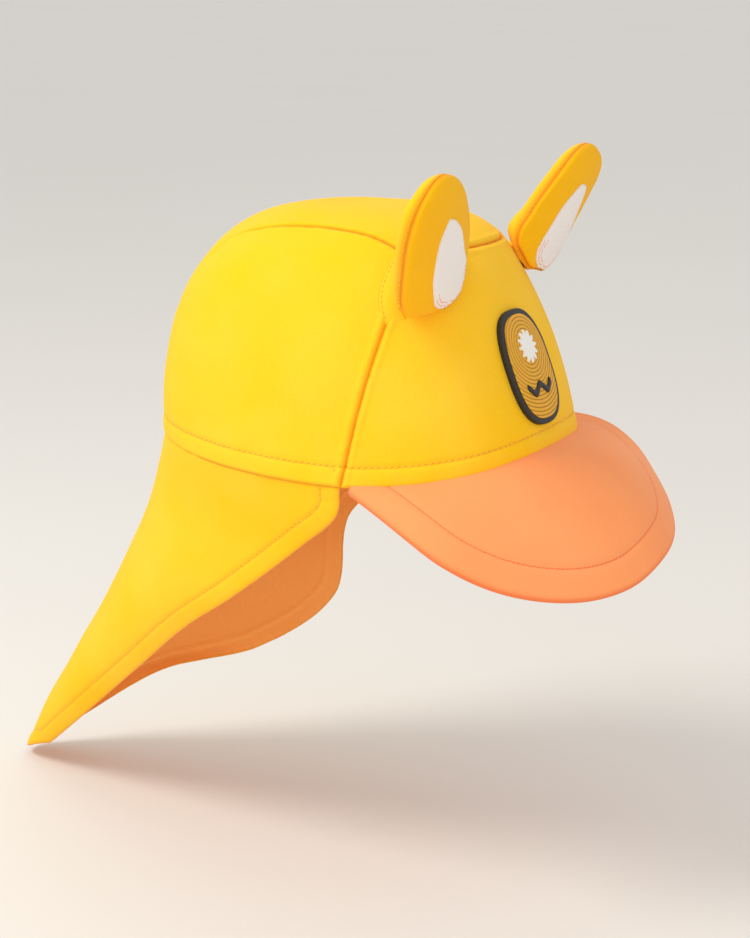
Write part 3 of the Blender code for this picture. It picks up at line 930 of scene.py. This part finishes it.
def ear_point(across, up, ease):
    """The left ear's middle layer at a place in the unit disc, from its root up to its tip; ease
    lowers the slope of its root."""
    share = (1 + up) / 2
    out, forward, high, width, sweep, turn, slope = table_at(EAR_LEVELS, share)
    if up < 0:
        low = min(-up, 0.9999)
        squared = (1 - low**EAR_ROOT_SQUARENESS) ** (1 / EAR_ROOT_SQUARENESS)
        across *= squared / math.sqrt(1 - low * low)
    tip = EAR_SPREAD * HEAD_WIDTH / 2, -EAR_LEAN * HEAD_LENGTH / 2, CROWN_HEIGHT + EAR_RISE
    ridge = Vector((out * tip[0], forward * tip[1], high * tip[2]))
    turn = math.radians(turn)
    wide = Vector((math.cos(turn), math.sin(turn), ease * (1 - share) - slope))
    front = Vector((math.sin(turn), -math.cos(turn), -0.25 * share))
    point = ridge + wide * across * width * EAR_HALF_WIDTH
    return off_crown(point - front * sweep * EAR_SWEEP * across * across, EAR_STANDOFF)


def ear_normal(across, up, ease):
    """The way that the ear's front faces at that place."""
    step = 0.02
    wide = ear_point(across + step, up, ease) - ear_point(across - step, up, ease)
    top, bottom = min(up + step, 0.98), max(up - step, -0.96)
    high = ear_point(across, top, ease) - ear_point(across, bottom, ease)
    return wide.cross(high).normalized()


def ear_lift(across, up, pad, rounding):
    """How far a padded face stands from the middle layer: round at the rim, flatter at the
    root."""
    size = math.hypot(across, up)
    share = 1 - min((1 - size) * EAR_HALF_WIDTH / rounding, 1.0)
    root = 0.45 + 0.55 * min(max((up + 1) / 0.5, 0.0), 1.0)
    return pad * math.sqrt(max(1 - share * share, 0.0)) * root


def disc_place(s, t):
    """A place in the unit disc: s round it, t from its middle to its edge."""
    turn = 2 * math.pi * s
    return t * math.cos(turn), t * math.sin(turn)


def make_ear_half(name, mirrored, ease, pad, rounding, material, sign):
    """The ear's front, sign 1, or back, sign -1: a closed half pad on its middle layer. Rows up
    to EAR_PADDED_SHARE make its padded face and the rest its flat inner one. The back's lower
    part is drawn in to the crown."""

    def place(s, t):
        outer = t < EAR_PADDED_SHARE
        if outer:
            size = 1 - (1 - t / EAR_PADDED_SHARE) ** 1.5
        else:
            size = (1 - t) / (1 - EAR_PADDED_SHARE)
        across, up = disc_place(s, min(size, 1.0))
        across *= EAR_INSET
        lift = EAR_LAYER_GAP
        if outer:
            lift += ear_lift(across, up, pad, rounding)
            inset = hill((1 - size) * EAR_HALF_WIDTH - 0.003, 0.0025)
            lift += EAR_PUCKER * ripple(s * 0.13, 4.0 + sign) * inset
            dimple = noise.noise(Vector((across * 2.2, up * 3.1, sign + mirrored * 2.0)))
            lift += EAR_DIMPLE * dimple * (1 - size)
        point = ear_point(across, up, ease) + ear_normal(across, up, ease) * lift * sign
        if outer and sign < 0 and size < 1:
            azimuth = math.degrees(math.atan2(point.x, -point.y))
            seat = crown_at(azimuth, min(point.z - EAR_WEB_DROP, CROWN_HEIGHT * 0.97))
            web = min(max(EAR_WEB_TOP - up, 0.0) / EAR_WEB_FADE, 1.0)
            web *= web * (3 - 2 * web) * min((1 - size) * EAR_WEB_EDGE, 1.0)
            point = point.lerp(seat, web * EAR_WEB)
        return point

    cloth = lay_cloth(EAR_COLUMNS, EAR_ROWS, place, crowd=(0.0, 0.0), mirrored=mirrored)
    rim_row = math.ceil(EAR_ROWS * EAR_PADDED_SHARE)
    measure_hem(cloth, [(i, rim_row) for i in range(EAR_COLUMNS + 1)])
    # Painted shade along the ear's rim seam.
    write_layers(cloth, lambda v: SEAM_PAINTED_SHADE * hill(cloth.hem[v][0], 0.0008))
    for (_, j), vertex in cloth.knots.items():
        if j >= rim_row:
            cloth.hem[vertex] = 0.0, cloth.hem[vertex][1]
    line = stitch_line(cloth, EAR_RIM_LINE)
    close_shape(cloth.shape)
    made = add_piece(name + "_cloth", cloth.shape, material)
    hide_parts(name)
    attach(made, "root")
    return made, line


# The ear's front is the yellow knit painted deeper amber: painted shade where it faces down and
# away from the key light.
yellow_knit_in_painted_shade = swim_knit("yellow swim knit in painted shade", "#FFBC00", "#FFC418", "#EC7400", hem=NO_HEM)
white_fleece = swim_knit(
    "white brushed knit", "#EFEAE6", "#F8F5F2", "#F2C49A", roughness=0.9, sheen=0.4, hem=NO_HEM
)
patch_thread = spun_thread("orange patch thread", "#FF9A45", "#F0782E")
rim_stitches = bmesh.new()
patch_stitches = bmesh.new()
for side, mirrored, ease in (("left", False, EAR_LEFT_EASE), ("right", True, 0.0)):
    ear_back, rim_line = make_ear_half(
        "ear_back_" + side, mirrored, ease, EAR_BACK_PAD, EAR_BACK_ROUNDING, yellow_knit, -1
    )
    ear_front, _ = make_ear_half(
        "ear_front_" + side, mirrored, ease, EAR_FRONT_PAD, EAR_FRONT_ROUNDING, yellow_knit_in_painted_shade, 1
    )
    add_stitches(rim_stitches, rim_line, EAR_RIM_STITCH, length=0.0011, width=0.0004)

    def patch_face(s, t):
        """The patch on the ear's front: s round it, t from its middle to its uneven edge."""
        across, up = disc_place(s, t)
        up = up * EAR_PATCH_HALF_LENGTH + EAR_PATCH_MIDDLE
        across *= EAR_PATCH_HALF_WIDTH * (1.0 - 0.15 * up)
        across += 0.05 * t**3 * noise.noise(Vector((s * 9, 2.0, mirrored * 5.0)))
        ragged = 0.018 * noise.noise(Vector((s * 60, 0.0, mirrored * 3.0)))
        ragged *= max(0.0, -up) * t**6
        across *= 1 + ragged
        up *= 1 + ragged
        lift = ear_lift(across, up, EAR_FRONT_PAD, EAR_FRONT_ROUNDING) + EAR_LAYER_GAP
        lift += EAR_PATCH_PAD * (2 - t**6)
        return ear_point(across, up, ease) + ear_normal(across, up, ease) * lift

    cloth = lay_cloth(
        EAR_PATCH_COLUMNS, EAR_PATCH_ROWS, patch_face, crowd=(0.0, 0.0), mirrored=mirrored
    )
    measure_hem(cloth, [(i, EAR_PATCH_ROWS) for i in range(EAR_PATCH_COLUMNS + 1)])
    # Painted shade along the patch's edge.
    write_layers(cloth, lambda v: 0.3 * hill(cloth.hem[v][0], 0.0005))
    for distance in EAR_PATCH_LINES:
        sewn = stitch_line(cloth, distance)
        base = [item for item in sewn if item[1].z < SEWN_BELOW and abs(item[1].x) < SEWN_WITHIN]
        add_stitches(patch_stitches, base, EAR_PATCH_STITCH, length=0.0019, width=0.00042)
    close_shape(cloth.shape)
    node = "ear_patch_" + side
    ear_patch = add_piece(node + "_cloth", cloth.shape, white_fleece, EAR_PATCH_CLOTH)
    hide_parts(node)
    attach(ear_patch, "root")

    def root_face(s, t):
        """The stitched roll at the ear's root: s back over the crown's seam, t up along it."""
        height = ROOT_LOW + (ROOT_HIGH - ROOT_LOW) * t
        bulge = math.sin(math.pi * t) ** 0.7 if 0 < t < 1 else 0.0
        seam = table_at(FRONT_SEAM, height / CROWN_HEIGHT)[0]
        azimuth = seam - ROOT_FRONT_TURN * (1 - s) + ROOT_BACK_TURN * s * bulge
        point = crown_at(azimuth, height)
        roll = math.sin(math.pi * min(max(s, 0.0), 1.0)) ** 0.5
        out = Vector((point.x, point.y, 0.02)).normalized()
        return point + out * (ROOT_PAD * roll * bulge - ROOT_SINK)

    cloth = lay_cloth(ROOT_STEPS, ROOT_STEPS, root_face, crowd=(0.6, 0.3), mirrored=mirrored)
    measure_hem(cloth, [(ROOT_STEPS, j) for j in range(ROOT_STEPS + 1)])
    # Painted shade along the edge of the root's roll.
    write_layers(cloth, lambda v: 0.5 * hill(cloth.hem[v][0] - 0.0004, SEAM_PAINTED_SHADE_WIDTH))
    root_line = stitch_line(cloth, 0.0020)
    add_stitches(rim_stitches, root_line, EAR_RIM_STITCH, length=0.0013, width=0.0005)
    ear_root = add_piece("ear_root_" + side, cloth.shape, yellow_knit, ROOT_CLOTH)
    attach(ear_root, "root")

add_thread("ear_rim_stitches", rim_stitches, yellow_thread)
add_thread("ear_patch_stitches", patch_stitches, patch_thread)

# Badge
# A soft rubber badge moulded in layers: a black base with a rounded rim, a gold field that lies
# inside it, and a white sun and a black wave in low relief. It is glued to the front panel.
BADGE_HALF_WIDTH = 0.0165
BADGE_HALF_HEIGHT = 0.0220
BADGE_CENTRE_HEIGHT = 0.0390
BADGE_OFFSET = -0.006
BADGE_SQUARENESS = 2.6
BADGE_BASE = 0.0020
BADGE_FIELD = 0.0024
BADGE_BORDER = 0.0022
BADGE_FIELD_FOOT = 0.0010
BADGE_BASE_ROUNDING = 0.0005
BADGE_FIELD_ROUNDING = 0.0003
BADGE_LEAN = 0.96
BADGE_COLUMNS = 120
BADGE_ROWS = 40
BADGE_FACE_SHARE = 0.7
BADGE_ROUND_SHARE = 0.6
RING_PITCH = 0.0015
SUN_RADIUS = 0.0064
SUN_RAYS = 12
SUN_RAY_SHARE = 0.16
SUN_RISE = 0.0075
WAVE_HALF_WIDTH = 0.0095
WAVE_WIDTH = 0.0030
WAVE_SWING = 0.0014
WAVE_DROP = 0.0085
WAVE_ENDS = 0.14
RELIEF = 0.0009
RELIEF_SINK = 0.0002


def moulded_rubber(name, colour, shade, groove=0.0, centre=(0.0, 0.0, 0.0)):
    """Soft moulded silicone rubber: even colour, a low satin gloss and a fine mould grain. A
    groove above 0 cuts fine rings, RING_PITCH apart, round the centre, and shade gathers there."""
    made = bpy.data.materials.new(name)
    made.use_nodes = True
    tree = made.node_tree
    tree.nodes.clear()
    spot = add_node(tree, "TexCoord").outputs["Object"]
    grain = add_node(tree, "TexNoise", {"Vector": spot, "Scale": 2500.0, "Detail": 1.0})
    out = add_node(tree, "VectorMath", {0: spot, 1: centre}, operation="SUBTRACT")
    rings = add_node(
        tree,
        "TexWave",
        {"Vector": out.outputs[0], "Scale": WAVE_SCALE / RING_PITCH},
        wave_type="RINGS",
        rings_direction="SPHERICAL",
    )
    valley = {"Value": rings.outputs["Fac"], "From Max": 0.25, "To Min": groove, "To Max": 0.0}
    cut = add_node(tree, "MapRange", valley)
    tone = add_node(
        tree, "Mix", {0: cut.outputs[0], 6: linear(colour), 7: linear(shade)}, data_type="RGBA"
    )
    shallow = {"Strength": 0.15, "Distance": 0.0001, "Height": grain.outputs["Fac"]}
    fine = add_node(tree, "Bump", shallow).outputs[0]
    deep = {"Strength": 1.0, "Distance": 0.0003, "Height": cut.outputs[0], "Normal": fine}
    bump = add_node(tree, "Bump", deep, invert=True)
    shader = add_node(
        tree,
        "BsdfPrincipled",
        {"Base Color": tone.outputs[2], "Roughness": 0.48, "IOR": 1.41, "Normal": bump.outputs[0]},
    )
    add_node(tree, "OutputMaterial", {"Surface": shader.outputs[0]})
    return made


def badge_point(across, up):
    """The crown's front at a distance across and up from the badge's centre."""
    height = BADGE_CENTRE_HEIGHT + up * BADGE_LEAN
    front = crown_at(0, height).y
    return crown_at(math.degrees(math.atan2(across + BADGE_OFFSET, -front)), height)


def badge_out(across, up):
    """The way that the crown faces at that place."""
    step = 0.001
    wide = badge_point(across + step, up) - badge_point(across - step, up)
    high = badge_point(across, up + step) - badge_point(across, up - step)
    return wide.cross(high).normalized()


def badge_layer(border, foot, top, rounding):
    """A layer of the badge, `border` inside its outline, with a round edge. It stands from
    `foot` up to `top`. Rows past BADGE_FACE_SHARE make its edge, and BADGE_ROUND_SHARE of these
    its rounding."""

    def place(s, t):
        turn = 2 * math.pi * s
        across, up = math.cos(turn), math.sin(turn)
        power = BADGE_SQUARENESS
        square = (abs(across) ** power + abs(up) ** power) ** (1 / power)
        inner = min(t / BADGE_FACE_SHARE, 1.0)
        wall = max((t - BADGE_FACE_SHARE) / (1 - BADGE_FACE_SHARE), 0.0)
        arc = min(wall / BADGE_ROUND_SHARE, 1.0) * math.pi / 2
        pull = border + rounding * (1 - math.sin(arc))
        high = top - rounding * (1 - math.cos(arc))
        fall = max((wall - BADGE_ROUND_SHARE) / (1 - BADGE_ROUND_SHARE), 0.0)
        high -= (top - rounding - foot) * fall
        x = across / square * (BADGE_HALF_WIDTH - pull) * inner
        y = up / square * (BADGE_HALF_HEIGHT - pull) * inner
        return badge_point(x, y) + badge_out(x, y) * high

    return place


black_rubber = moulded_rubber("black moulded rubber", "#2B2724", "#1D1A18")
sun_centre = badge_point(0.0, SUN_RISE)
gold_rubber = moulded_rubber("gold moulded rubber", "#EBAA18", "#A87408", 0.8, sun_centre)
white_rubber = moulded_rubber("white moulded rubber", "#F3F0EA", "#E2DCD2")
base_layer = badge_layer(0.0, 0.0, BADGE_BASE, BADGE_BASE_ROUNDING)
field_layer = badge_layer(BADGE_BORDER, BADGE_FIELD_FOOT, BADGE_FIELD, BADGE_FIELD_ROUNDING)
for name, layer, material, slot_name in (
    ("badge_base", base_layer, black_rubber, "black_rubber"),
    ("badge_field", field_layer, gold_rubber, "gold_rubber"),
):
    shape = lay_cloth(BADGE_COLUMNS, BADGE_ROWS, layer, crowd=(0.0, 0.0)).shape
    bmesh.ops.reverse_faces(shape, faces=shape.faces)
    bmesh.ops.remove_doubles(shape, verts=shape.verts, dist=MERGE_DISTANCE)
    made = add_piece(name + "_layer", shape, material)
    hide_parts(name)
    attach(made, "root")


def badge_relief(name, shape, material):
    """Lays a closed shape, drawn flat in badge metres, on the field."""
    for vertex in shape.verts:
        across, up, high = vertex.co
        lift = BADGE_FIELD - RELIEF_SINK + high
        vertex.co = badge_point(across, up) + badge_out(across, up) * lift
    bmesh.ops.remove_doubles(shape, verts=shape.verts, dist=MERGE_DISTANCE / 2)
    bmesh.ops.recalc_face_normals(shape, faces=shape.faces)
    made = add_piece(name + "_relief", shape, material)
    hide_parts(name)
    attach(made, "root")


shape = bmesh.new()
bmesh.ops.create_grid(shape, x_segments=16 * SUN_RAYS, y_segments=14, size=0.5)
for vertex in shape.verts:
    turn = 2 * math.pi * (vertex.co.x + 0.5)
    rise = min((vertex.co.y + 0.5) / 0.7, 1.0)
    wall = max((vertex.co.y - 0.2) / 0.3, 0.0)
    outline = SUN_RADIUS * (1 - SUN_RAY_SHARE * (1 - math.cos(SUN_RAYS * turn)))
    reach = (outline - RELIEF * 0.4 * (1 - wall)) * rise
    high = RELIEF * math.sqrt(1 - wall * wall)
    vertex.co = Vector((reach * math.cos(turn), SUN_RISE + reach * math.sin(turn), high))
badge_relief("badge_sun", shape, white_rubber)
shape = bmesh.new()
bmesh.ops.create_grid(shape, x_segments=90, y_segments=12, size=0.5)
for vertex in shape.verts:
    across = 2 * vertex.co.x
    swing = WAVE_SWING * math.cos(2 * math.pi * across)
    turn = math.pi * (vertex.co.y + 0.5)
    past = max(abs(across) - (1 - WAVE_ENDS), 0.0) / WAVE_ENDS
    ends = math.sqrt(max(1 - past * past, 0.0))
    place = across * WAVE_HALF_WIDTH, -WAVE_DROP + swing - WAVE_WIDTH / 2 * math.cos(turn) * ends
    vertex.co = Vector((*place, RELIEF * abs(math.sin(turn)) ** 0.6 * ends))
badge_relief("badge_wave", shape, black_rubber)

# Floor
# A pale studio floor under the hanging flap, wide enough to fill the view to its horizon.
FLOOR_SIZE = 60.0
FLOOR_GAP = 0.004
shape = bmesh.new()
bmesh.ops.create_grid(shape, x_segments=1, y_segments=1, size=FLOOR_SIZE / 2)
for vertex in shape.verts:
    vertex.co.z = cad_box[0].z - FLOOR_GAP
# Painted board: matt, in one pale grey with the faintest cloud of tone.
pale = bpy.data.materials.new("pale painted board")
pale.use_nodes = True
tree = pale.node_tree
tree.nodes.clear()
spot = add_node(tree, "TexCoord").outputs["Object"]
cloud = add_node(tree, "TexNoise", {"Vector": spot, "Scale": 3.0, "Detail": 2.0})
tones = {0: cloud.outputs["Fac"], 6: linear("#E6E3DD"), 7: linear("#E3DFD8")}
tone = add_node(tree, "Mix", tones, data_type="RGBA")
shader = add_node(tree, "BsdfPrincipled", {"Base Color": tone.outputs[2], "Roughness": 0.9})
add_node(tree, "OutputMaterial", {"Surface": shader.outputs[0]})
floor = add_piece("floor", shape, pale)
floor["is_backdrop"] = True

# Camera
# It stands at the photograph's angle: to the cap's right front and a little above it.
VIEW_AZIMUTH = math.radians(-61.0)
VIEW_ELEVATION = math.radians(15.0)
VIEW_DISTANCE = 0.8
PIXELS_PER_METRE = 2460.0
FRAME_SIZE = (750, 938)
ORIGIN_PIXEL = (371.0, 440.5)
SENSOR = 36.0
back = Vector(
    (
        math.sin(VIEW_AZIMUTH) * math.cos(VIEW_ELEVATION),
        -math.cos(VIEW_AZIMUTH) * math.cos(VIEW_ELEVATION),
        math.sin(VIEW_ELEVATION),
    )
)
camera = bpy.data.objects.new("camera", bpy.data.cameras.new("camera"))
scene.collection.objects.link(camera)
scene.camera = camera
camera.data.sensor_width = SENSOR
camera.data.lens = SENSOR * VIEW_DISTANCE * PIXELS_PER_METRE / FRAME_SIZE[1]
camera.data.clip_start = 0.01
camera.rotation_mode = "QUATERNION"
camera.rotation_quaternion = (-back).to_track_quat("-Z", "Y")
right = camera.rotation_quaternion @ Vector((1, 0, 0))
above = camera.rotation_quaternion @ Vector((0, 1, 0))
camera.location = (
    back * VIEW_DISTANCE
    - right * (ORIGIN_PIXEL[0] - FRAME_SIZE[0] / 2) / PIXELS_PER_METRE
    - above * (FRAME_SIZE[1] / 2 - ORIGIN_PIXEL[1]) / PIXELS_PER_METRE
)

# Lights
# One large soft light from high up at the camera's left, a weak wide one from the camera's side,
# and an even white sky.
KEY_PLACE = -right * 0.75 + back * 0.35 + Vector((0, 0, 0.95))
FILL_PLACE = back * 1.1 - right * 0.2 + Vector((0, 0, -0.2))
SKY_STRENGTH = 0.82


def add_light(name, place, size, power, colour):
    """A round area light that faces the cap's head opening."""
    lamp = bpy.data.lights.new(name, "AREA")
    lamp.shape = "DISK"
    lamp.size = size
    lamp.energy = power
    lamp.color = linear(colour)[:3]
    made = bpy.data.objects.new(name, lamp)
    made.location = place
    made.rotation_mode = "QUATERNION"
    made.rotation_quaternion = (-Vector(place)).to_track_quat("-Z", "Y")
    scene.collection.objects.link(made)


add_light("key light", KEY_PLACE, 0.55, 8.5, "#FFFBF4")
add_light("fill light", FILL_PLACE, 0.9, 2.4, "#FFFFFF")
world = bpy.data.worlds.new("white sky")
scene.world = world
world.use_nodes = True
sky = world.node_tree.nodes["Background"]
sky.inputs["Color"].default_value = linear("#FFFFFF")
sky.inputs["Strength"].default_value = SKY_STRENGTH

[[list(point) for point in box] for box in (cad_box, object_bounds())]
